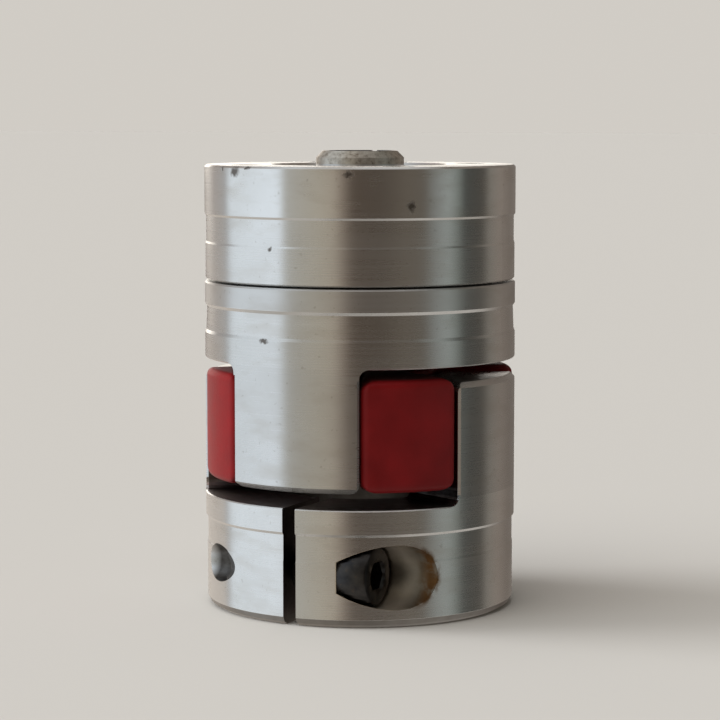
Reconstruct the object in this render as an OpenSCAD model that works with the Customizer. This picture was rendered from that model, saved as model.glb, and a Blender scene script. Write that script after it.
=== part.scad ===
// Backlash-free jaw coupling: two aluminium hubs, each with two jaws, drive one
// another through a four-lobed elastomer spider. The lower hub is a slit clamp
// hub with one cross screw. The upper hub is a taper hub: four screws, put in
// from the spider side, pull a clamping ring down its tapered sleeve.
// Millimetres. Origin: centre of the lower hub's outer face, on the shaft axis.
// +Z is the shaft axis towards the upper hub. The slit faces -Y.

/* [Coupling] */
// outer diameter of the hubs and the ring
od = 30; // [29.8:0.1:30.4]
// gap between the faces of the two hubs
hub_gap = 13; // [12.8:0.1:13.6]
// length of the jaws of each hub
jaw_len = 11.5; // [11:0.1:11.6]
// angle that one jaw covers
jaw_angle = 51.8; // [50.6:0.2:52]
// radius of the inner face of the jaws
jaw_inner_r = 7.9; // [7.8:0.05:8.1]
// chamfer round the tip of each jaw
jaw_chamfer = 0.5; // [0.2:0.1:0.6]
// chamfer along the upright outer edges of each jaw
jaw_side_chamfer = 0.2; // [0.16:0.02:0.24]
// fillet between the jaws' flanks and the face of the hub
jaw_fillet = 0.9; // [0.4:0.1:1]
// rounding between the jaws' flanks and their tips
jaw_tip_round = 0.9; // [0.5:0.1:1.1]

/* [Lower clamp hub] */
// height of the hub's body
lower_h = 11; // [10.8:0.1:12]
// diameter of the shaft bore
lower_bore_d = 15; // [14:0.5:15]
// width of the clamping slit
slit_w = 1.27; // [1:0.1:1.6]
// distance from the shaft axis to the clamp screw's axis
clamp_offset = 11.5; // [11.4:0.05:11.6]
// height of the clamp screw's axis above the outer face
clamp_z = 4.7; // [4.4:0.1:5]
// distance from the slit's middle to the seat under the screw's head
clamp_seat = 4.5; // [4:0.1:4.8]
// diameter of the pocket for the screw's head
clamp_pocket_d = 6; // [5.9:0.1:6.3]

/* [Spider] */
// thickness of the spider
spider_b = 10.5; // [9.8:0.1:10.6]
// gap between the spider and the face of the lower hub
spider_gap = 1.5; // [1.4:0.1:1.6]
// diameter of the hole through the spider
spider_hole_d = 10.5; // [10:0.1:10.8]
// radius of the web that joins the lobes
spider_web_r = 7.5; // [7.2:0.1:7.5]
// outer radius of the lobes
lobe_r = 14.85; // [14.4:0.05:14.9]
// rounding of the lobes' upright outer edges
lobe_round = 0.8; // [0.7:0.1:1.4]
// rounding of the lobes' outer edges at the top and the bottom
lobe_end_round = 0.7; // [0.6:0.1:1.2]
// rounding of the lobes' four corners, seen from outside
lobe_corner_round = 1.8; // [1:0.1:2.2]
// angle left free on each side of a lobe
lobe_gap_angle = 0.15; // [0.1:0.05:0.4]

/* [Upper taper hub] */
// height of the flange
flange_h = 7.35; // [7.2:0.05:7.5]
// height of the parting gap between the flange and the ring
parting_gap = 0.2; // [0.15:0.05:0.4]
// diameter of the shaft bore
upper_bore_d = 6; // [4:0.5:6]
// radius of the tapered sleeve at the flange
taper_r_low = 8.9; // [8.8:0.05:9]
// radius of the tapered sleeve at its outer end
taper_r_high = 8.3; // [8.2:0.05:8.4]
// width of the slot in the sleeve
sleeve_slot_w = 0.8; // [0.6:0.1:1]
// diameter of the nose that stands proud of the ring
nose_d = 8.5; // [8:0.1:8.8]
// height of the nose above the ring
nose_h = 1.3; // [1:0.1:1.6]

/* [Clamping ring and its screws] */
// height of the ring
ring_h = 10.95; // [10.7:0.05:11.1]
// radial clearance between the ring and the sleeve
ring_play = 0.05; // [0.03:0.01:0.1]
// radius of the circle that the four screws lie on
ring_screw_r = 11.4; // [11.3:0.05:11.5]
// length of the ring screws under the head
ring_screw_l = 12; // [10:1:12]

/* [Screws, M3 socket head] */
// outer diameter of the thread
thread_d = 2.96; // [2.9:0.01:2.98]
// pitch of the thread
thread_pitch = 0.5; // [0.5:0.1:0.6]
// diameter of the head
head_d = 5.5; // [5.3:0.1:5.6]
// height of the head
head_h = 3; // [2.8:0.1:3]
// width across the flats of the hexagon socket
socket_af = 2.5; // [2.4:0.1:2.6]
// depth of the hexagon socket
socket_depth = 1.5; // [1.2:0.1:1.7]
// length of the clamp screw under the head
clamp_screw_l = 12; // [10:1:12]

/* [Hidden] */
$fn = 96;
hub_r = od / 2;
upper_z = lower_h + hub_gap;
flange_top_z = upper_z + flange_h;
ring_z = flange_top_z + parting_gap;
top_z = ring_z + ring_h;
spider_z = lower_h + spider_gap;
tapped_r = 1.53;
tapped_relief_r = 1.75;
clearance_r = 1.65;
screw_pocket_r = 2.95;
ring_seat_z = upper_z + 3.3;
lobe_half = (180 - 2 * jaw_angle) / 4 - lobe_gap_angle;
arc_steps = 8;
aluminium = [0.66, 0.65, 0.63];
steel = [0.17, 0.18, 0.21];
elastomer = [0.62, 0.06, 0.07];

// a square bar along +X: its edge takes a chamfer off an edge that runs at height z
module edge_cut(z, c) {
    translate([10, 0, z])
        rotate([45, 0, 0])
            cube([14, c * sqrt(2), c * sqrt(2)], center = true);
}

// a quarter round of radius r, in four flats, as points from (r, 0) to (0, r)
function quarter(r) = [for (i = [0:4]) let (t = 22.5 * i) [r * (1 - sin(t)), r * (1 - cos(t))]];

// a bar along +X with a given section, at the flank of a jaw
module flank_bar(section) {
    translate([jaw_inner_r - 1, 0, 0])
        rotate([90, 0, 90])
            linear_extrude(height = hub_r)
                polygon(section);
}

// all that is cut away between two jaws that lie on X and point up from z = 0: the
// space itself with rounded roots, the rounding of the jaws' tips and their side edges
module jaw_window() {
    difference() {
        rotate([0, 0, jaw_angle / 2])
            rotate_extrude(angle = 180 - jaw_angle)
                polygon([[jaw_inner_r - 0.4, 0], [hub_r - 0.1, 0], [hub_r + 0.4, -0.5],
                         [hub_r + 1, -0.5], [hub_r + 1, jaw_len + 1],
                         [jaw_inner_r - 0.4, jaw_len + 1]]);
        for (side = [0, 1])
            mirror([side, 0, 0])
                rotate([0, 0, jaw_angle / 2])
                    flank_bar(concat([[-1, -1], [jaw_fillet, -1]],
                                     [for (p = quarter(jaw_fillet)) [p[0] - 0.02, p[1] - 0.02]],
                                     [[-1, jaw_fillet - 0.02]]));
    }
    for (side = [0, 1])
        mirror([side, 0, 0])
            rotate([0, 0, jaw_angle / 2]) {
                flank_bar(concat([[0.5, jaw_len + 0.5], [-jaw_tip_round, jaw_len + 0.5]],
                                 [for (p = quarter(jaw_tip_round))
                                     [0.01 - p[0], jaw_len + 0.01 - p[1]]],
                                 [[0.5, jaw_len - jaw_tip_round]]));
                translate([hub_r, 0, jaw_fillet + 0.1])
                    rotate([0, 0, 45])
                        translate([-jaw_side_chamfer / sqrt(2), -jaw_side_chamfer / sqrt(2), 0])
                            cube([jaw_side_chamfer * sqrt(2), jaw_side_chamfer * sqrt(2),
                                  jaw_len]);
            }
}

// a socket-head cap screw along +Z: the seat is z = 0, the head is below it. The
// thread is plain rings, one to each pitch.
module cap_screw(len) {
    crests = floor((len - 1) / thread_pitch);
    difference() {
        rotate_extrude()
            polygon(concat(
                [[0, -head_h], [head_d / 2 - 0.25, -head_h],
                 [head_d / 2, 0.25 - head_h], [head_d / 2, 0], [thread_d / 2, 0]],
                [for (i = [0:crests - 1], k = [0, 1])
                    [thread_d / 2 - 0.28 * k, 0.5 + (i + k / 2) * thread_pitch]],
                [[thread_d / 2, 0.5 + crests * thread_pitch],
                 [thread_d / 2 - 0.4, len], [0, len]]));
        translate([0, 0, -head_h - 1])
            cylinder(r = socket_af / sqrt(3), h = socket_depth + 1, $fn = 6);
        translate([0, 0, -head_h - 0.05])
            cylinder(r1 = socket_af / 2 + 0.3, r2 = socket_af / 2, h = 0.3);
    }
}

// turned body with two jaws on X, shaft bore, slit, pocket and tapped hole
module lower_clamp_hub() {
    color(aluminium)
    difference() {
        rotate_extrude()
            polygon([[0, 0], [hub_r - 0.95, 0], [hub_r - 0.4, 0.3], [hub_r - 0.15, 0.8],
                     [hub_r - 0.15, 6], [hub_r - 0.2, 6.2],
                     [hub_r - 0.2, 8.5], [hub_r, 8.76],
                     [hub_r, lower_h + jaw_len - jaw_chamfer],
                     [hub_r - jaw_chamfer, lower_h + jaw_len],
                     [jaw_inner_r + 0.2, lower_h + jaw_len],
                     [jaw_inner_r, lower_h + jaw_len - 0.2],
                     [jaw_inner_r, lower_h], [0, lower_h]]);
        for (a = [0, 180])
            translate([0, 0, lower_h])
                rotate([0, 0, a])
                    jaw_window();
        translate([0, 0, -1])
            cylinder(d = lower_bore_d, h = lower_h + 2);
        translate([0, 0, -0.1])
            cylinder(d1 = lower_bore_d + 1, d2 = lower_bore_d, h = 0.5);
        translate([-slit_w / 2, -hub_r - 1, -1])
            cube([slit_w, hub_r + 1, lower_h + 2]);
        translate([clamp_seat, -clamp_offset, clamp_z])
            rotate([0, 90, 0])
                cylinder(d = clamp_pocket_d, h = hub_r);
        translate([0, -clamp_offset, clamp_z])
            rotate([0, 90, 0])
                cylinder(r = clearance_r, h = hub_r);
        translate([0, -clamp_offset, clamp_z])
            rotate([0, -90, 0]) {
                cylinder(r = tapped_r, h = hub_r);
                translate([0, 0, clamp_screw_l - clamp_seat + 0.4])
                    cylinder(r = tapped_relief_r, h = hub_r);
            }
    }
}

// the screw that crosses the slit, head towards +X
module clamp_screw() {
    color(steel)
    translate([clamp_seat, -clamp_offset, clamp_z])
        rotate([0, -90, 0])
            cap_screw(clamp_screw_l);
}

// outline of one lobe on +X, its two outer corners rounded
module lobe_outline() {
    corner_r = lobe_r - lobe_round;
    corner_a = lobe_half - asin(lobe_round / corner_r);
    upper = [for (i = [0:arc_steps])
                let (t = lobe_half + 90 + (corner_a - lobe_half - 90) * i / arc_steps)
                [corner_r * cos(corner_a) + lobe_round * cos(t),
                 corner_r * sin(corner_a) + lobe_round * sin(t)]];
    lower = [for (i = [arc_steps:-1:0]) [upper[i][0], -upper[i][1]]];
    intersection() {
        circle(r = lobe_r);
        polygon(concat([[0, 0]], upper, [[lobe_r + 1, 0]], lower));
    }
}

// a rounded rectangle, as wide as a lobe and as tall as the spider
module lobe_front() {
    half_w = lobe_r * sin(lobe_half);
    q = [for (i = [0:arc_steps]) let (t = 90 * i / arc_steps)
            [half_w - lobe_corner_round * (1 - cos(t)),
             spider_b - lobe_corner_round * (1 - sin(t))]];
    r = [for (i = [arc_steps:-1:0]) [-q[i][0], q[i][1]]];
    top = concat(q, r);
    bottom = [for (i = [len(top) - 1:-1:0]) [top[i][0], spider_b - top[i][1]]];
    polygon(concat(top, bottom));
}

// four lobes on a web, lobes at 45 degrees to the jaws
module spider() {
    r0 = lobe_r - lobe_end_round;
    z1 = spider_b - lobe_end_round;
    top_arc = [for (i = [0:arc_steps]) let (t = 90 * i / arc_steps)
                  [r0 + lobe_end_round * cos(t), z1 + lobe_end_round * sin(t)]];
    bottom_arc = [for (i = [arc_steps:-1:0]) [top_arc[i][0], spider_b - top_arc[i][1]]];
    color(elastomer)
    translate([0, 0, spider_z])
        difference() {
            intersection() {
                union() {
                    cylinder(r = spider_web_r, h = spider_b);
                    for (a = [45, 135, 225, 315])
                        rotate([0, 0, a])
                            intersection() {
                                linear_extrude(height = spider_b)
                                    lobe_outline();
                                translate([4, 0, 0])
                                    rotate([90, 0, 90])
                                        linear_extrude(height = lobe_r)
                                            lobe_front();
                            }
                }
                rotate_extrude()
                    polygon(concat([[0, 0]], bottom_arc, top_arc, [[0, spider_b]]));
            }
            translate([0, 0, -1])
                cylinder(d = spider_hole_d, h = spider_b + 2);
            for (a = [45, 135, 225, 315], side = [-1, 1])
                rotate([0, 0, a + side * lobe_half])
                    translate([spider_web_r - 2.4, 0, 0]) {
                        edge_cut(0, 0.45);
                        edge_cut(spider_b, 0.45);
                    }
        }
}

// turned flange with two jaws on Y, tapered and slotted sleeve, nose and bore
module upper_taper_hub() {
    color(aluminium)
    difference() {
        translate([0, 0, upper_z])
            rotate_extrude()
                polygon([[0, 0], [jaw_inner_r, 0], [jaw_inner_r, 0.2 - jaw_len],
                         [jaw_inner_r + 0.2, -jaw_len], [hub_r - jaw_chamfer, -jaw_len],
                         [hub_r, jaw_chamfer - jaw_len],
                         [hub_r, 2.45], [hub_r - 0.12, 2.75],
                         [hub_r - 0.2, 4.95], [hub_r, 5.25],
                         [hub_r, flange_h - 0.15], [hub_r - 0.15, flange_h],
                         [taper_r_low, flange_h],
                         [taper_r_high, flange_h + parting_gap + ring_h - 0.3],
                         [nose_d / 2, flange_h + parting_gap + ring_h - 0.3],
                         [nose_d / 2, flange_h + parting_gap + ring_h + nose_h / 2],
                         [nose_d / 2 - nose_h / 2,
                          flange_h + parting_gap + ring_h + nose_h],
                         [0, flange_h + parting_gap + ring_h + nose_h]]);
        for (a = [90, 270])
            translate([0, 0, upper_z])
                mirror([0, 0, 1])
                    rotate([0, 0, a])
                        jaw_window();
        translate([0, 0, upper_z - 1])
            cylinder(d = upper_bore_d, h = top_z + nose_h - upper_z + 2);
        translate([0, 0, upper_z - 0.1])
            cylinder(d1 = upper_bore_d + 1, d2 = upper_bore_d, h = 0.5);
        translate([-sleeve_slot_w / 2, 0, ring_z + 0.4])
            cube([sleeve_slot_w, hub_r, ring_h + nose_h + 2]);
        for (a = [45, 135, 225, 315])
            rotate([0, 0, a])
                translate([ring_screw_r, 0, upper_z - 1]) {
                    cylinder(r = screw_pocket_r, h = ring_seat_z - upper_z + 1);
                    cylinder(r = clearance_r, h = flange_h + 2);
                }
        for (a = [0, 180])
            rotate([0, 0, a])
                translate([ring_screw_r, 0, upper_z - 1])
                    cylinder(r = tapped_r, h = flange_h + 2);
    }
}

// ring with a tapered bore and four tapped holes
module clamping_ring() {
    color(aluminium)
    difference() {
        translate([0, 0, ring_z])
            rotate_extrude()
                polygon([[taper_r_low + ring_play, 0], [hub_r - 0.22, 0],
                         [hub_r - 0.07, 0.15], [hub_r - 0.07, 3.45], [hub_r - 0.15, 3.65],
                         [hub_r - 0.15, 6.08], [hub_r, 6.29],
                         [hub_r, ring_h - 0.2], [hub_r - 0.2, ring_h],
                         [taper_r_high + ring_play + 0.25, ring_h],
                         [taper_r_high + ring_play, ring_h - 0.25]]);
        for (a = [45, 135, 225, 315])
            rotate([0, 0, a])
                translate([ring_screw_r, 0, ring_z - 1])
                    cylinder(r = tapped_r, h = ring_h + 2);
    }
}

// one of the four screws in the flange, head towards the spider
module ring_screw(a) {
    color(steel)
    rotate([0, 0, a])
        translate([ring_screw_r, 0, ring_seat_z])
            cap_screw(ring_screw_l);
}

module ring_screw_1() { ring_screw(-45); }
module ring_screw_2() { ring_screw(45); }
module ring_screw_3() { ring_screw(135); }
module ring_screw_4() { ring_screw(225); }

lower_clamp_hub();
clamp_screw();
spider();
upper_taper_hub();
clamping_ring();
ring_screw_1();
ring_screw_2();
ring_screw_3();
ring_screw_4();
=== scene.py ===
"""Backlash-free jaw coupling: looks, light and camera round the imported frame."""
import math

import bmesh
import bpy
from mathutils import Matrix, Vector
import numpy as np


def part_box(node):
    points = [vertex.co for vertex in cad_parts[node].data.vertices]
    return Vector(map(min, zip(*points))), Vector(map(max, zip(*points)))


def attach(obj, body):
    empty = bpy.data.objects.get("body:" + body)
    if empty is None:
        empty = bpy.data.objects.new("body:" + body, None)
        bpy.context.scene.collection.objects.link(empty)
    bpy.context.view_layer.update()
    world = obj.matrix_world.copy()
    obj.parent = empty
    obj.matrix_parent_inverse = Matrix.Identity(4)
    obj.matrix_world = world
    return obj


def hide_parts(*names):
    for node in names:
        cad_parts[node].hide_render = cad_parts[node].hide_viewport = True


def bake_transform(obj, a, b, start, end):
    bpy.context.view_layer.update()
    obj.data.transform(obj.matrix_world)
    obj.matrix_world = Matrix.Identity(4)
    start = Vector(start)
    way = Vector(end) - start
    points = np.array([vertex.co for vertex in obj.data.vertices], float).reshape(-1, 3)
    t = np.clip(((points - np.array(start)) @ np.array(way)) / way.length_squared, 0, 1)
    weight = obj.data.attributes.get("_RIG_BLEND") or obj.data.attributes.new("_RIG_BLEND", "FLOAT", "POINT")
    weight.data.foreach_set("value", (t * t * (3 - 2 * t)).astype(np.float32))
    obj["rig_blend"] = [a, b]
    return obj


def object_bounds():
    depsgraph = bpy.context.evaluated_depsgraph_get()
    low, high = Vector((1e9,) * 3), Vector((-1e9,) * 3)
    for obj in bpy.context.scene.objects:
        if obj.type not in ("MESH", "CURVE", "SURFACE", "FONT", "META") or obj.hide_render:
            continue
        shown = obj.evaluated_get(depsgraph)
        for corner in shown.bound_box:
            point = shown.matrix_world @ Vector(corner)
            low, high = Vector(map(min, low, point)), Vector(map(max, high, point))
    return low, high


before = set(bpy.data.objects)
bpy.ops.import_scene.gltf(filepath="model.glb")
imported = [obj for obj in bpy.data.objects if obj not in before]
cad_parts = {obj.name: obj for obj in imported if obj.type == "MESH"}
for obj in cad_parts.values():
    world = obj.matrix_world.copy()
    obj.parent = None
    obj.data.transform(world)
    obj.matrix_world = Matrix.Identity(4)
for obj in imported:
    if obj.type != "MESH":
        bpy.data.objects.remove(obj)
cad_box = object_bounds()
MM = 0.001
scene = bpy.context.scene

# ---------------------------------------------------------------- camera
CAM_AZIMUTH = math.radians(-63.8)   # compass angle of the camera round the shaft axis
CAM_DISTANCE = 243 * MM             # level distance from the shaft axis
CAM_HEIGHT = 47.2 * MM              # just above the ring's top face
LOOK_AT = Vector((0, 0, 23.5 * MM))
FRAME_HEIGHT = 70 * MM              # what the picture takes in at the axis
SENSOR = 36                         # mm
CLIP_NEAR, CLIP_FAR = 0.01, 20      # m

cam_data = bpy.data.cameras.new("camera")
cam = bpy.data.objects.new("camera", cam_data)
scene.collection.objects.link(cam)
cam.location = (CAM_DISTANCE * math.cos(CAM_AZIMUTH),
                CAM_DISTANCE * math.sin(CAM_AZIMUTH), CAM_HEIGHT)
look = LOOK_AT - cam.location
cam.rotation_euler = look.to_track_quat("-Z", "Y").to_euler()
cam_data.sensor_width = SENSOR
cam_data.lens = SENSOR * look.length / FRAME_HEIGHT
cam_data.clip_start, cam_data.clip_end = CLIP_NEAR, CLIP_FAR
scene.camera = cam
scene.view_settings.view_transform = "Standard"

# ---------------------------------------------------------------- node helpers
X, Y, Z = 0, 1, 2


class Nodes:
    """Short names for building one node tree. Values may be numbers or sockets."""

    def __init__(self, tree):
        self.tree = tree
        tree.nodes.clear()

    def add(self, kind, inputs=None, **props):
        node = self.tree.nodes.new("ShaderNode" + kind)
        for key, value in props.items():
            setattr(node, key, value)
        for key, value in (inputs or {}).items():
            self.put(node, key, value)
        return node

    def put(self, node, key, value):
        socket = node.inputs[key]
        if isinstance(value, bpy.types.NodeSocket):
            self.tree.links.new(value, socket)
        else:
            socket.default_value = value

    def math(self, op, a, b=None):
        node = self.add("Math", {0: a}, operation=op)
        if b is not None:
            self.put(node, 1, b)
        return node.outputs[0]

    def vec(self, op, a, b):
        return self.add("VectorMath", {0: a, 1: b}, operation=op).outputs[0]

    def length(self, vector):
        return self.add("VectorMath", {0: vector}, operation="LENGTH").outputs["Value"]

    def times(self, *factors):
        value = factors[0]
        for factor in factors[1:]:
            value = self.math("MULTIPLY", value, factor)
        return value

    def plus(self, *terms):
        value = terms[0]
        for term in terms[1:]:
            value = self.math("ADD", value, term)
        return value

    def xyz(self, vector):
        return self.add("SeparateXYZ", {"Vector": vector}).outputs

    def span(self, value, low, high, to_low=0.0, to_high=1.0):
        """low to high becomes to_low to to_high, and stays there outside the span."""
        return self.add("MapRange", {"Value": value, "From Min": low, "From Max": high,
                                     "To Min": to_low, "To Max": to_high}).outputs[0]

    def ramp(self, value, stops, interpolation="LINEAR"):
        node = self.add("ValToRGB", {"Fac": value})
        band = node.color_ramp
        band.interpolation = interpolation
        while len(band.elements) < len(stops):
            band.elements.new(0.5)
        for element, (pos, colour) in zip(band.elements, stops):
            element.position = pos
            element.color = tuple(colour) + (1.0,)
        return node.outputs[0]

    def mix(self, fac, a, b, blend="MIX"):
        node = self.add("Mix", {0: fac}, data_type="RGBA", blend_type=blend)
        for socket, value in ((6, a), (7, b)):
            linked = isinstance(value, bpy.types.NodeSocket)
            self.put(node, socket, value if linked else tuple(value) + (1.0,))
        return node.outputs[2]

    def noise(self, vector, scale, detail=3.0, roughness=0.5, out="Fac"):
        return self.add("TexNoise", {"Vector": vector, "Scale": scale, "Detail": detail,
                                     "Roughness": roughness}).outputs[out]

    def bump(self, strength, distance, height):
        return self.add("Bump", {"Strength": strength, "Distance": distance,
                                 "Height": height}).outputs[0]

    def surface(self, **inputs):
        """The tree's Principled shader; Base_Color stands for the socket Base Color."""
        bsdf = self.add("BsdfPrincipled", {k.replace("_", " "): v for k, v in inputs.items()})
        self.add("OutputMaterial", {"Surface": bsdf.outputs[0]})

    def in_mm(self):
        """The point in the part's own frame, in millimetres."""
        return self.vec("MULTIPLY", self.add("TexCoord").outputs["Object"], (1000.0,) * 3)

    def near(self, pos, point, size):
        """1 at a point in the part's frame, falling to 0 at size (x, y, z) from it."""
        off = self.vec("DIVIDE", self.vec("SUBTRACT", pos, point), size)
        return self.span(self.length(off), 1.0, 0.35)

    def in_tube(self, pos, axis, centre, radius, low, high):
        """1 inside a round zone along X or Z, from low to high; centre is on its axis."""
        keep = [1.0, 1.0, 1.0]
        keep[axis] = 0.0
        off = self.vec("MULTIPLY", self.vec("SUBTRACT", pos, centre), keep)
        along = self.xyz(pos)[axis]
        return self.times(self.math("LESS_THAN", self.length(off), radius),
                          self.math("GREATER_THAN", along, low),
                          self.math("LESS_THAN", along, high))

    def in_box(self, pos, low, high):
        parts = self.xyz(pos)
        return self.times(*[self.math("GREATER_THAN", a, v) for a, v in zip(parts, low)],
                          *[self.math("LESS_THAN", a, v) for a, v in zip(parts, high)])


def linear(r, g, b):
    """sRGB 0-255 to linear 0-1."""
    def one(v):
        v /= 255.0
        return v / 12.92 if v <= 0.04045 else ((v + 0.055) / 1.055) ** 2.4
    return (one(r), one(g), one(b))


def material(name):
    mat = bpy.data.materials.new(name)
    mat.use_nodes = True
    return mat, Nodes(mat.node_tree)


# ---------------------------------------------------------------- studio
METAL = 0.78   # how much of the light the clean metal mirrors
# what the satin cylinder shows, 0-255, by angle from the camera (negative is left)
BANDS = [(-180, (112, 106, 100)), (-160, (140, 132, 126)), (-136, (152, 146, 142)),
         (-118, (150, 150, 150)), (-110.5, (208, 216, 222)), (-61.5, (214, 222, 229)),
         (-56.5, (158, 157, 151)), (-30, (158, 152, 139)), (-19, (156, 147, 133)),
         (-13, (122, 110, 99)), (-6, (71, 61, 52)), (16, (73, 65, 57)), (34, (88, 81, 72)),
         (48, (88, 82, 74)), (57, (118, 120, 117)), (68, (136, 141, 138)),
         (76.5, (112, 117, 112)), (83, (66, 67, 64)), (103, (69, 66, 61)),
         (111, (116, 112, 105)), (126, (124, 115, 107)), (146, (106, 98, 91)),
         (180, (112, 106, 100))]
TABLE = (186, 178, 169)            # what it shows low down at the left, 0-255
ABOVE = (0.62, 0.61, 0.60)         # the light from above, below and straight down
BELOW = (0.55, 0.52, 0.48)
NADIR = (0.06, 0.055, 0.05)
BEHIND = (1.8, 1.7, 1.55)          # a low glow behind the part, for the steps at its sides
BACKDROP = (0.635, 0.605, 0.56)    # what the camera sees past the floor
PALE = (0.60, 0.578, 0.545)        # the floor
# where each of them fades in, by how far up a direction points, from -1 to 1
ABOVE_FADE, BELOW_FADE, NADIR_FADE = (0.80, 0.95), (-0.40, -0.65), (-0.95, -0.98)
TABLE_FADE, GLOW_FOOT, GLOW_TOP = (-0.09, -0.14), (-0.02, 0.02), (0.30, 0.22)
# and by how far round it points, as a share of a turn from straight behind by the left
TABLE_EDGE, GLOW_LEFT, GLOW_RIGHT = (0.175, 0.16), (0.12, 0.08), (0.985, 0.995)

world = bpy.data.worlds.new("studio")
scene.world = world
world.use_nodes = True
n = Nodes(world.node_tree)
coords = n.add("TexCoord").outputs["Generated"]
turned = n.add("Mapping", {"Vector": coords, "Rotation": (0, 0, -CAM_AZIMUTH)}).outputs[0]
around = n.add("TexGradient", {"Vector": turned}, gradient_type="RADIAL").outputs["Fac"]
light = n.ramp(around, [((a + 180) / 360, [v / METAL for v in linear(*c)]) for a, c in BANDS])
upness = n.xyz(coords)[Z]
light = n.mix(n.span(upness, *ABOVE_FADE), light, ABOVE)
light = n.mix(n.span(upness, *BELOW_FADE), light, BELOW)
light = n.mix(n.span(upness, *NADIR_FADE), light, NADIR)
light = n.mix(n.times(n.span(around, *TABLE_EDGE), n.span(upness, *TABLE_FADE)), light,
              [v / METAL for v in linear(*TABLE)])
behind = n.math("MAXIMUM", n.span(around, *GLOW_LEFT), n.span(around, *GLOW_RIGHT))
light = n.mix(n.times(behind, n.span(upness, *GLOW_FOOT), n.span(upness, *GLOW_TOP)), light,
              BEHIND)
seen = n.mix(n.add("LightPath").outputs["Is Camera Ray"], light, BACKDROP)
background = n.add("Background", {"Color": seen, "Strength": 1.0})
n.add("OutputWorld", {"Surface": background.outputs[0]})


def lamp(name, azimuth, elevation, strength, spread, colour):
    """A soft sun; angles in degrees, azimuth from the camera (negative is left)."""
    data = bpy.data.lights.new(name, "SUN")
    data.energy, data.angle, data.color = strength, math.radians(spread), colour
    obj = bpy.data.objects.new(name, data)
    scene.collection.objects.link(obj)
    a, e = CAM_AZIMUTH + math.radians(azimuth), math.radians(elevation)
    towards = Vector((math.cos(a) * math.cos(e), math.sin(a) * math.cos(e), math.sin(e)))
    obj.location = LOOK_AT + towards
    obj.rotation_euler = towards.to_track_quat("Z", "Y").to_euler()
    obj.visible_glossy = False


lamp("overhead", azimuth=-60, elevation=62, strength=1.5, spread=70, colour=(1.0, 0.99, 0.97))
lamp("left_window", azimuth=-98, elevation=14, strength=3.0, spread=35, colour=(0.97, 0.98, 1.0))

FLOOR_SIDE = 6.0   # m
CORNERS = ((-1, -1), (1, -1), (1, 1), (-1, 1))
floor_mesh = bpy.data.meshes.new("floor")
floor_mesh.from_pydata([(x * FLOOR_SIDE, y * FLOOR_SIDE, 0) for x, y in CORNERS], [],
                       [(0, 1, 2, 3)])
floor = bpy.data.objects.new("floor", floor_mesh)
scene.collection.objects.link(floor)
floor.visible_glossy = False
floor_mat, n = material("floor")
n.surface(Base_Color=PALE + (1.0,), Roughness=0.9, Specular_IOR_Level=0.0)
floor_mesh.materials.append(floor_mat)

# ---------------------------------------------------------------- materials
LAND_TOP = 50.0   # mm, above every land
CLEAN, CLOUDY = (0.80, 0.795, 0.785), (0.73, 0.72, 0.705)
SMEAR, SPECK, NICK = (0.56, 0.51, 0.44), (0.40, 0.37, 0.33), (0.13, 0.11, 0.095)
WEATHERED = [(0.3, (0.34, 0.29, 0.23)), (0.42, (0.64, 0.59, 0.52)), (0.65, (0.84, 0.80, 0.73))]
RED_DEEP, RED_LIGHT = (0.155, 0.0022, 0.0033), (0.215, 0.0038, 0.0055)
OXIDE_DARK, OXIDE_LIGHT, OXIDE_WORN = (0.035, 0.034, 0.036), (0.075, 0.070, 0.066), (0.16, 0.10, 0.06)


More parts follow.
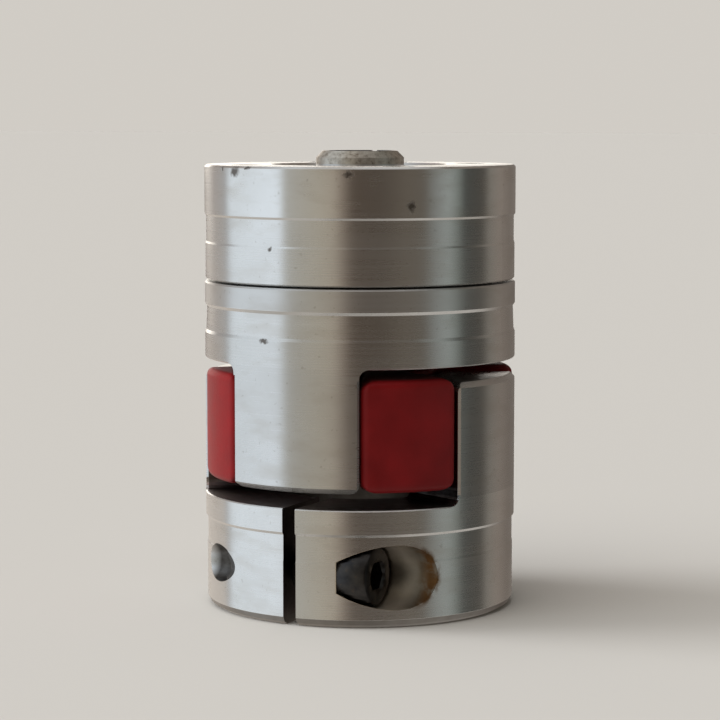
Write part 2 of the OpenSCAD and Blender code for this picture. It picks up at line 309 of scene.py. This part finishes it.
def turned_aluminium(name, seed, lands, nicks=(), dull=(), grime_and_shade=()):
    """Satin turned aluminium: fine turning marks round the axis, faint clouding and specks.

    lands is [(z where it starts, brightness, extra roughness)], in mm up the axis, and
    nicks [(point, size)]. dull lists weathered zones, each a function of (nodes, point)
    that gives a mask. grime_and_shade lists zones of painted shade, painted light, oil film and rust,
    which give mask, colour, roughness."""
    mat, n = material(name)
    pos = n.in_mm()
    x, y, z = n.xyz(pos)
    radius = n.math("SQRT", n.plus(n.times(x, x), n.times(y, y)))
    normal_z = n.xyz(n.add("NewGeometry").outputs["True Normal"])[Z]
    flat = n.math("GREATER_THAN", n.math("ABSOLUTE", normal_z), 0.8)
    along = n.plus(n.times(z, n.math("SUBTRACT", 1.0, flat)), n.times(radius, flat))
    lathe = n.add("CombineXYZ", {X: n.times(n.math("ARCTAN2", y, x), 0.5),
                                 Y: n.times(along, 6.0), Z: seed}).outputs[0]
    grooves = n.noise(lathe, 1.0, 3.0, 0.6)
    shifted = n.vec("ADD", pos, (seed * 7.0, 0.0, 0.0))
    cloud = n.noise(shifted, 0.10, 4.0, 0.6)
    smear = n.noise(n.vec("MULTIPLY", shifted, (0.3, 0.3, 0.9)), 0.6, 4.0, 0.55)
    speck = n.noise(shifted, 2.3, 2.0)
    colour = n.mix(n.span(cloud, 0.35, 0.7), CLEAN, CLOUDY)
    colour = n.mix(n.span(smear, 0.50, 0.72, 0.0, 0.30), colour, SMEAR)
    colour = n.mix(n.span(speck, 0.67, 0.76, 0.0, 0.35), colour, SPECK)
    level = n.math("DIVIDE", z, LAND_TOP)
    tint = n.ramp(level, [(low / LAND_TOP, (v, v, v)) for low, v, _ in lands], "CONSTANT")
    worn = n.ramp(level, [(low / LAND_TOP, (v, v, v)) for low, _, v in lands], "CONSTANT")
    colour = n.mix(1.0, colour, tint, "MULTIPLY")
    rough = n.plus(n.span(cloud, 0.3, 0.7, 0.20, 0.26), n.span(grooves, 0.3, 0.7, -0.03, 0.03),
                   n.plus(n.span(smear, 0.5, 0.72, 0.0, 0.05), worn))
    height = grooves
    jitter = n.vec("SUBTRACT", n.noise(pos, 2.2, out="Color"), (0.5, 0.5, 0.5))
    ragged = n.vec("ADD", pos, n.vec("MULTIPLY", jitter, (0.8, 0.8, 0.8)))
    for point, size in nicks:
        mark = n.near(ragged, point, size)
        colour = n.mix(n.span(mark, 0.0, 0.9, 0.0, 0.9), colour, NICK)
        rough = n.plus(rough, n.times(mark, 0.15))
        height = n.math("SUBTRACT", height, n.times(mark, 2.0))
    for zone in dull:
        mask = zone(n, pos)
        pit = n.noise(pos, 2.2, 5.0, 0.65)
        colour = n.mix(mask, colour, n.ramp(pit, WEATHERED))
        rough = n.plus(rough, n.times(mask, 0.2))
        height = n.plus(height, n.times(mask, pit, 4.0))
    # painted shade in the gaps, slit, hole and on the bottom edge, painted light in the pocket, and real oil
    # film and rust
    for zone in grime_and_shade:
        mask, shade, dullness = zone(n, pos)
        film_and_shade = n.noise(pos, 0.8, 4.0, 0.6)
        colour = n.mix(n.times(mask, n.span(film_and_shade, 0.3, 0.6, 0.90, 1.0)), colour, shade)
        rough = n.plus(rough, n.times(mask, dullness))
    tangent = n.add("Tangent", direction_type="RADIAL", axis="Z").outputs[0]
    n.surface(Base_Color=colour, Metallic=1.0, Roughness=rough, Anisotropic=0.8,
              Anisotropic_Rotation=0.25, Normal=n.bump(0.22, 0.00002, height),
              Tangent=tangent)
    return mat


def red_elastomer():
    """Cast elastomer, a little cloudy, with a fine moulded grain."""
    mat, n = material("red_elastomer")
    pos = n.in_mm()
    cloud = n.noise(pos, 0.3, 4.0)
    grain = n.noise(pos, 5.0)
    rough = n.plus(n.span(cloud, 0.3, 0.7, 0.40, 0.50), n.span(grain, 0.3, 0.7, -0.03, 0.03))
    n.surface(Base_Color=n.mix(n.span(cloud, 0.3, 0.7), RED_DEEP, RED_LIGHT),
              Roughness=rough, Specular_IOR_Level=0.22, Sheen_Weight=0.04,
              Sheen_Roughness=0.5, Normal=n.bump(0.15, 0.00004, grain))
    return mat


def black_oxide():
    """Blackened steel with a few worn, brownish patches."""
    mat, n = material("black_oxide_steel")
    pos = n.in_mm()
    cloud = n.noise(pos, 0.9, 4.0)
    grain = n.noise(pos, 8.0)
    worn = n.span(n.noise(pos, 1.7, 5.0, 0.6), 0.62, 0.72, 0.0, 0.5)
    colour = n.mix(worn, n.mix(n.span(cloud, 0.3, 0.7), OXIDE_DARK, OXIDE_LIGHT), OXIDE_WORN)
    rough = n.plus(n.span(cloud, 0.3, 0.7, 0.30, 0.44), n.span(grain, 0.3, 0.7, -0.03, 0.03))
    n.surface(Base_Color=colour, Metallic=1.0, Roughness=rough,
              Normal=n.bump(0.2, 0.00003, grain))
    return mat


# ---------------------------------------------------------------- painted shade, painted light, dirt and wear, in mm
# painted shade in the gaps between the hubs and in the slit; a darker grey in the bores
GAP_SHADE, BORE_GREY = (0.17, 0.135, 0.125), (0.20, 0.185, 0.17)
# painted shade: darker under the lobes, and deep inside the tapped hole
DEEP_GAP_SHADE, HOLE_SHADE = (0.05, 0.04, 0.038), (0.07, 0.064, 0.06)
SHADED_EDGE = (0.27, 0.25, 0.23)
# the pocket's walls: a mottled warm film, painted lighter to offset the shade in the pocket, and darker near
# the mouth
POCKET_FILMS_AND_LIGHT, POCKET_MOUTH = ((0.55, 0.50, 0.44), (0.85, 0.78, 0.68)), (0.20, 0.17, 0.13)
RUSTS = ((0.12, 0.062, 0.03), (0.27, 0.145, 0.055))
SHAFT = (0, 0, 0)                    # a point on the shaft's axis
SCREW_AXIS = (0.0, -11.5, 4.7)       # a point on the clamp screw's axis, which is along X
BODY_R = 15.0
GAP_R = 14.76                        # the painted shade reaches out to here between the hubs
GAP_FLOOR, LOBES_START = 10.95, 12.4
POCKET_R = 3.0


def shaft_zone(radius, low, high, shade, dullness):
    return lambda n, pos: (n.in_tube(pos, Z, SHAFT, radius, low, high), shade, dullness)


# painted shade on the faces between the hubs, where the jaws and lobes shade each other
shade_above_lower_hub = shaft_zone(GAP_R, LOBES_START, 21.9, GAP_SHADE, 0.2)
shade_below_upper_hub = shaft_zone(GAP_R, 13.1, 24.05, GAP_SHADE, 0.2)
# a darker grey inside the bores
lower_bore = shaft_zone(7.9, -1.0, 11.5, BORE_GREY, 0.1)
upper_bore = shaft_zone(3.4, 20.0, 50.0, BORE_GREY, 0.1)
foot = shaft_zone(15.1, -1.0, 0.78, SHADED_EDGE, 0.1)


def gap_floor(n, pos):
    """Painted shade on the lower hub's top face under the lobes, darkest on the pocket's side."""
    film_and_shade = n.mix(n.span(n.xyz(pos)[X], 1.5, 5.0), GAP_SHADE, DEEP_GAP_SHADE)
    return n.in_tube(pos, Z, SHAFT, GAP_R, GAP_FLOOR, LOBES_START), film_and_shade, 0.2


# painted shade, darker deeper into the tapped hole
def tapped_hole(n, pos):
    deep = n.span(n.xyz(pos)[X], -11.3, -10.0)
    return n.times(n.in_tube(pos, X, SCREW_AXIS, 1.8, -16.0, 0.0), deep), HOLE_SHADE, 0.1


# painted shade inside the slit
def slit(n, pos):
    return n.in_box(pos, (-0.66, -16.0, -1.0), (0.66, -7.0, 12.0)), GAP_SHADE, 0.2


# painted light: the pocket's walls are lighter than their shade would leave them, with a mottled warm film;
# darker near the mouth
def pocket(n, pos):
    film_and_shade = n.mix(n.noise(pos, 1.1, 4.0), *POCKET_FILMS_AND_LIGHT)
    film_and_shade = n.mix(n.span(n.xyz(pos)[X], 9.0, 10.6), film_and_shade, POCKET_MOUTH)
    return n.in_tube(pos, X, SCREW_AXIS, POCKET_R + 0.04, 4.4, 16.0), film_and_shade, 0.12


def rusty_lip(n, pos):
    """Rust along the outer end of the pocket's rim, inside and out."""
    off = n.vec("MULTIPLY", n.vec("SUBTRACT", pos, SCREW_AXIS), (0.0, 1.0, 1.0))
    from_rim = n.math("ABSOLUTE", n.math("SUBTRACT", n.length(off), POCKET_R))
    radius = n.length(n.vec("MULTIPLY", pos, (1.0, 1.0, 0.0)))
    mask = n.times(n.span(from_rim, 0.5, 0.1), n.span(radius, 12.3, 14.2),
                   n.span(n.xyz(pos)[X], 10.2, 11.4),
                   n.span(n.noise(pos, 0.8, 4.0), 0.36, 0.52))
    return mask, n.mix(n.noise(pos, 1.1), *RUSTS), 0.2


def nose(n, pos):
    return n.in_tube(pos, Z, SHAFT, 4.6, 42.55, 46.0)


def on_surface(angle, z):
    """A point on the turned surface, angle in degrees to the camera's right."""
    a = CAM_AZIMUTH + math.radians(angle)
    return (BODY_R * math.cos(a), BODY_R * math.sin(a), z)


def dress(node, mat):
    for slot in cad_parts[node].material_slots:
        slot.material = mat


LOWER_LANDS = [(0, 1.0, 0.03), (6.1, 1.0, 0.02), (8.6, 1.0, 0.03), (11.6, 0.86, 0.05)]
UPPER_LANDS = [(0, 0.89, 0.05), (24.0, 0.91, 0.045), (26.6, 0.94, 0.04), (29.25, 0.88, 0.13)]
RING_LANDS = [(0, 0.97, 0.04), (35.2, 0.97, 0.03), (37.8, 1.0, 0.0)]
RING_NICKS = [(on_surface(-51, 42.0), (0.75, 0.75, 0.6)),
              (on_surface(-3.8, 41.85), (0.6, 0.6, 0.3)),
              (on_surface(18.2, 38.9), (0.55, 0.55, 0.6)),
              (on_surface(-34, 34.9), (0.36, 0.36, 0.3)),
              (on_surface(-59, 42.3), (0.35, 0.35, 0.25)),
              (on_surface(-44, 42.35), (0.45, 0.45, 0.22))]
HUB_NICKS = [(on_surface(-36.5, 26.4), (0.6, 0.6, 0.28))]
steel = black_oxide()
dress("lower_clamp_hub", turned_aluminium(
    "aluminium_lower", 1.0, LOWER_LANDS,
    grime_and_shade=[shade_above_lower_hub, gap_floor, lower_bore, slit, foot, pocket, rusty_lip, tapped_hole]))
dress("upper_taper_hub", turned_aluminium(
    "aluminium_upper", 5.0, UPPER_LANDS, nicks=HUB_NICKS, dull=[nose],
    grime_and_shade=[shade_below_upper_hub, upper_bore]))
dress("clamping_ring", turned_aluminium("aluminium_ring", 9.0, RING_LANDS, nicks=RING_NICKS))
rubber = red_elastomer()


# ---------------------------------------------------------------- the moulded spider
def stand_in(obj, mat, node):
    """Show an object with a finished mesh in place of a CAD node."""
    obj.data.materials.clear()
    obj.data.materials.append(mat)
    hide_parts(node)


VOXEL = 0.17 * MM
SOFTEN_TIMES = 8
JAW_EDGE = 25.9   # degrees from the middle of a jaw to its flank

spider = bpy.data.objects.new("spider_moulded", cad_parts["spider"].data.copy())
scene.collection.objects.link(spider)
remesh = spider.modifiers.new("remesh", "REMESH")
remesh.mode, remesh.voxel_size = "VOXEL", VOXEL
soften = spider.modifiers.new("soften", "SMOOTH")
soften.factor, soften.iterations = 0.5, SOFTEN_TIMES
evaluated = spider.evaluated_get(bpy.context.evaluated_depsgraph_get())
moulded = bpy.data.meshes.new_from_object(evaluated)
spider.modifiers.clear()
spider.data = moulded
moulded.shade_smooth()
stand_in(spider, rubber, "spider")
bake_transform(spider, "lower_hub", "spider", start=(0, 0, 0), end=(0, 0, cad_box[1][2]))
# A lobe is squeezed between two jaws: its side at a lower jaw, on X, stays with that jaw
# and its side at an upper jaw, on Y, turns with the upper hub.
for vertex, share in zip(moulded.vertices, moulded.attributes["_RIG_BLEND"].data):
    from_jaw = math.degrees(math.atan2(abs(vertex.co.y), abs(vertex.co.x)))
    share.value = min(max((from_jaw - JAW_EDGE) / (90 - 2 * JAW_EDGE), 0.0), 1.0)

# ---------------------------------------------------------------- socket-head screws, in mm
SECTORS = 60
ROWS = 4                             # of the thread's mesh, for one turn of the thread
HEAD_R, HEAD_H, KNURL = 2.75, 3.0, 0.09
CREST_R, ROOT_R, PITCH, THREAD_START = 1.48, 1.2, 0.5, 0.5
TIP_R = ROOT_R - 0.12
TIP_SHY = 0.05                       # the thread ends this far short of the CAD screw's tip
HEX_HALF, HEX_DEPTH = 1.25, 1.5
WELD = 1e-4
SHARP = math.radians(35)


def screw_mesh(name, length):
    """A knurled socket-head screw along +Z: the seat is z = 0 and the head is below it."""
    bm = bmesh.new()
    turn = [2 * math.pi * j / SECTORS for j in range(SECTORS)]

    def ring(z, radii):
        return [bm.verts.new((r * math.cos(t), r * math.sin(t), z)) for r, t in zip(radii, turn)]

    def circle(z, r):
        return ring(z, [r] * SECTORS)

    def band(lower, upper):
        for j in range(SECTORS):
            k = (j + 1) % SECTORS
            bm.faces.new((lower[j], lower[k], upper[k], upper[j]))

    sixth = math.pi / 3
    hexagon = [HEX_HALF / math.cos((t + sixth / 2) % sixth - sixth / 2) for t in turn]
    knurled = [HEAD_R - KNURL * (j % 2) for j in range(SECTORS)]
    socket = HEX_DEPTH - HEAD_H
    loops = [circle(socket + 0.3, 0.02), ring(socket, [r * 0.96 for r in hexagon]),
             ring(socket, hexagon), ring(-HEAD_H + 0.22, hexagon),
             circle(-HEAD_H, HEX_HALF + 0.32), circle(-HEAD_H, HEAD_R - 0.3),
             circle(-HEAD_H + 0.08, HEAD_R - 0.14), ring(-HEAD_H + 0.25, knurled),
             ring(-0.35, knurled), circle(-0.2, HEAD_R - 0.1), circle(-0.05, HEAD_R - 0.1),
             circle(0, HEAD_R - 0.16), circle(0, CREST_R + 0.12), circle(0.1, CREST_R)]
    end = length - TIP_SHY
    flank_r = (CREST_R + ROOT_R) / 2
    profile = (CREST_R, flank_r, ROOT_R, flank_r)
    grid = []
    for i in range(-ROWS, int((end - THREAD_START) / PITCH * ROWS) + 5):
        grid.append([])
        for j, t in enumerate(turn):
            z = min(max(THREAD_START + PITCH * (i / ROWS + j / SECTORS), THREAD_START), end)
            r = CREST_R if z == THREAD_START else min(profile[i % ROWS], TIP_R + (end - z))
            grid[-1].append(bm.verts.new((r * math.cos(t), r * math.sin(t), z)))
    for lower, upper in zip(loops, loops[1:]):
        band(lower, upper)
    for i in range(len(grid) - 1):
        for j in range(SECTORS - 1):
            bm.faces.new((grid[i][j], grid[i][j + 1], grid[i + 1][j + 1], grid[i + 1][j]))
        above = i + ROWS             # the row that this one runs into after a turn
        if above + 1 < len(grid):
            bm.faces.new((grid[i][-1], grid[above][0], grid[above + 1][0], grid[i + 1][-1]))
    band(loops[-1], circle(THREAD_START, CREST_R))
    bm.faces.new(circle(end, TIP_R))
    bm.faces.new(list(reversed(loops[0])))
    bmesh.ops.remove_doubles(bm, verts=bm.verts, dist=WELD)
    bmesh.ops.dissolve_degenerate(bm, edges=bm.edges, dist=WELD)
    bmesh.ops.recalc_face_normals(bm, faces=bm.faces)
    mesh = bpy.data.meshes.new(name)
    bm.to_mesh(mesh)
    bm.free()
    mesh.transform(Matrix.Scale(MM, 4))
    return mesh


def place_screw(node, turn_to):
    """A detailed screw in a CAD screw's place; turn_to turns +Z to the way it points."""
    low, high = (Vector(v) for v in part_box(node))
    shank = turn_to @ Vector((0, 0, 1))
    length = max(high - low) / MM - HEAD_H
    centre = (low + high) / 2
    seat = centre - shank * (length - HEAD_H) / 2 * MM
    name = node + "_detailed"
    mesh = screw_mesh(name, length)
    mesh.transform(Matrix.Translation(seat) @ turn_to.to_4x4())
    mesh.shade_smooth()
    mesh.set_sharp_from_angle(angle=SHARP)
    obj = bpy.data.objects.new(name, mesh)
    scene.collection.objects.link(obj)
    stand_in(obj, steel, node)
    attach(obj, node)


place_screw("clamp_screw", Matrix.Rotation(math.radians(-90), 3, "Y"))
for number in range(1, 5):
    place_screw(f"ring_screw_{number}", Matrix.Identity(3))
